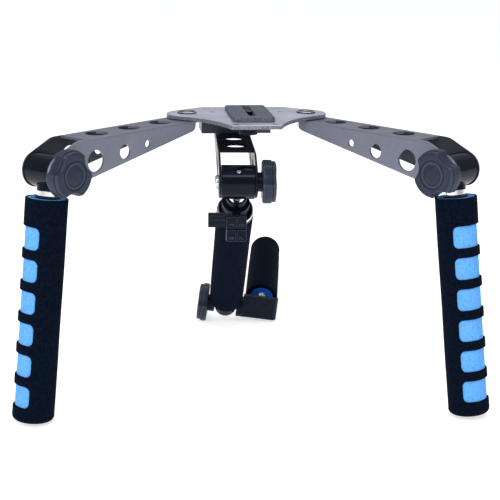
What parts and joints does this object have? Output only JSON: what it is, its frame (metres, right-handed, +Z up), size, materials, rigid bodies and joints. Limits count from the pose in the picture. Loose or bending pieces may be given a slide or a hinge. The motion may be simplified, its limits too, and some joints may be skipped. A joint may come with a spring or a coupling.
{
  "type": "cinema camera rig",
  "caption": "Folding camera support with a slotted top plate, hinged channel arms, padded hand grips and a rear strut that ends in a foam roller.",
  "frame": {"origin": "on the camera screw's axis, at the top face of the camera pad", "axes": "+X to the right of the rig, +Y to its rear, +Z up"},
  "size_m": [0.3914, 0.436, 0.2337],
  "materials": {
    "plate_metal": "satin bead-blasted silver",
    "pad_rubber": "grained rubber",
    "arm_paint": "satin graphite powder coat",
    "screw_steel": "plated steel",
    "black_washer": "dull black",
    "black_gloss": "glossy black",
    "knob_plastic": "dark slate moulded plastic",
    "black_plastic": "smooth black moulded plastic",
    "bright_chrome": "polished",
    "grip_black": "fine closed-cell foam",
    "grip_blue": "blue closed-cell foam",
    "core_blue": "blue closed-cell foam",
    "tube_metal": "black anodised tube"
  },
  "bodies": {
    "base": {"top_plate": "plate_metal", "camera_pad": "pad_rubber", "plate_screws": "screw_steel", "rear_bracket": "arm_paint", "front_pivot_screws": "screw_steel", "front_upper_washers": "black_washer", "lower_washers": "screw_steel", "pivot_nuts": "screw_steel", "rear_pivot_screw": "screw_steel", "rear_pivot_spacer": "black_washer"},
    "screw_guide": {"screw_guide": "screw_steel"},
    "screw_collar": {"screw_collar": "black_washer"},
    "camera_screw": {"camera_screw": "black_gloss"},
    "left_arm": {"left_arm": "arm_paint", "left_clamp_bolt": "screw_steel"},
    "left_knob": {"left_knob": "knob_plastic", "left_knob_hub": "black_plastic"},
    "left_handle": {"left_barrel": "black_gloss", "left_stem": "bright_chrome"},
    "left_grip": {"left_lock_ring": "bright_chrome", "left_grip_tube": "tube_metal", "left_grip_core": "grip_blue", "left_grip_skin": "grip_black", "left_end_plug": "knob_plastic"},
    "right_arm": {"right_arm": "arm_paint", "right_clamp_bolt": "screw_steel"},
    "right_knob": {"right_knob": "knob_plastic", "right_knob_hub": "black_plastic"},
    "right_handle": {"right_barrel": "black_gloss", "right_stem": "bright_chrome"},
    "right_grip": {"right_lock_ring": "bright_chrome", "right_grip_tube": "tube_metal", "right_grip_core": "grip_blue", "right_grip_skin": "grip_black", "right_end_plug": "knob_plastic"},
    "rear_arm": {"rear_arm": "arm_paint", "rear_clamp_bolt": "screw_steel"},
    "rear_knob": {"rear_knob": "knob_plastic", "rear_knob_hub": "black_plastic"},
    "strut": {"rear_barrel": "black_gloss", "strut_stem": "bright_chrome", "strut_lock_ring": "bright_chrome", "strut_neck": "black_plastic", "cap_ring": "bright_chrome", "strut_tube": "tube_metal", "strut_foam_core": "core_blue", "strut_foam": "grip_black", "cable_clip": "knob_plastic", "clip_jaws": "knob_plastic"},
    "foot_yoke": {"foot_yoke": "black_gloss", "foot_bolt": "screw_steel"},
    "foot_knob": {"foot_knob": "knob_plastic", "foot_knob_hub": "black_plastic"},
    "foot": {"foot_block": "knob_plastic", "roller_axle": "screw_steel", "roller_collar": "bright_chrome", "roller_nut": "screw_steel"},
    "roller": {"roller_core": "core_blue", "roller_foam": "grip_black"}
  },
  "joints": [
    {"name": "left_arm_swing", "type": "hinge", "parent": "base", "child": "left_arm", "pos_m": [-0.0533, 0.014, -0.0083], "axis": [0, 0, -1], "range_deg": [-50, 75]},
    {"name": "right_arm_swing", "type": "hinge", "parent": "base", "child": "right_arm", "pos_m": [0.0533, 0.014, -0.0083], "axis": [0, 0, 1], "range_deg": [-42, 75]},
    {"name": "rear_arm_swing", "type": "hinge", "parent": "base", "child": "rear_arm", "pos_m": [0, 0.1437, -0.037], "axis": [0, 0, 1], "range_deg": [-170, 175]},
    {"name": "left_handle_tilt", "type": "hinge", "parent": "left_arm", "child": "left_handle", "pos_m": [-0.16881, -0.1003, -0.0312], "axis": [-0.7034, 0.7108, 0], "range_deg": [-32, 87]},
    {"name": "left_knob_turn", "type": "hinge", "parent": "left_arm", "child": "left_knob", "pos_m": [-0.16881, -0.1003, -0.0312], "axis": [0.7034, -0.7108, 0], "continuous": true},
    {"name": "left_grip_turn", "type": "hinge", "parent": "left_handle", "child": "left_grip", "pos_m": [-0.16881, -0.1003, -0.0312], "axis": [0.0928, 0.0918, 0.9914], "continuous": true},
    {"name": "right_handle_tilt", "type": "hinge", "parent": "right_arm", "child": "right_handle", "pos_m": [0.152, -0.11509, -0.0312], "axis": [-0.7944, -0.6074, 0], "range_deg": [-32, 87]},
    {"name": "right_knob_turn", "type": "hinge", "parent": "right_arm", "child": "right_knob", "pos_m": [0.152, -0.11509, -0.0312], "axis": [-0.7944, -0.6074, 0], "continuous": true},
    {"name": "right_grip_turn", "type": "hinge", "parent": "right_handle", "child": "right_grip", "pos_m": [0.152, -0.11509, -0.0312], "axis": [-0.0929, 0.1215, 0.9882], "continuous": true},
    {"name": "rear_strut_tilt", "type": "hinge", "parent": "rear_arm", "child": "strut", "pos_m": [-0.01094, -0.01843, -0.0599], "axis": [-0.9977, 0.0673, 0], "range_deg": [-15, 125]},
    {"name": "rear_knob_turn", "type": "hinge", "parent": "rear_arm", "child": "rear_knob", "pos_m": [-0.01094, -0.01843, -0.0599], "axis": [0.9977, -0.0673, 0], "continuous": true},
    {"name": "foot_swivel", "type": "hinge", "parent": "strut", "child": "foot_yoke", "pos_m": [-0.0069, 0.11356, -0.21801], "axis": [-0.0196, -0.6407, 0.7675], "continuous": true},
    {"name": "foot_fold", "type": "hinge", "parent": "foot_yoke", "child": "foot", "pos_m": [-0.0069, 0.11356, -0.21801], "axis": [0.9822, -0.1557, -0.1049], "range_deg": [-60, 45]},
    {"name": "foot_knob_turn", "type": "hinge", "parent": "foot_yoke", "child": "foot_knob", "pos_m": [-0.0069, 0.11356, -0.21801], "axis": [0.9822, -0.1557, -0.1049], "continuous": true},
    {"name": "roller_turn", "type": "hinge", "parent": "foot", "child": "roller", "pos_m": [0.03143, 0.12334, -0.21687], "axis": [0.1642, 0.9833, 0.078], "continuous": true},
    {"name": "camera_screw_slide", "type": "slide", "parent": "base", "child": "screw_guide", "axis": [0, 1, 0], "range_m": [-0.018, 0.018]},
    {"name": "camera_screw_lift", "type": "slide", "parent": "screw_guide", "child": "screw_collar", "axis": [0, 0, 1], "range_m": [0, 0.0065]},
    {"name": "camera_screw_turn", "type": "hinge", "parent": "screw_collar", "child": "camera_screw", "pos_m": [0, 0, 0], "axis": [0, 0, 1], "continuous": true}
  ]
}
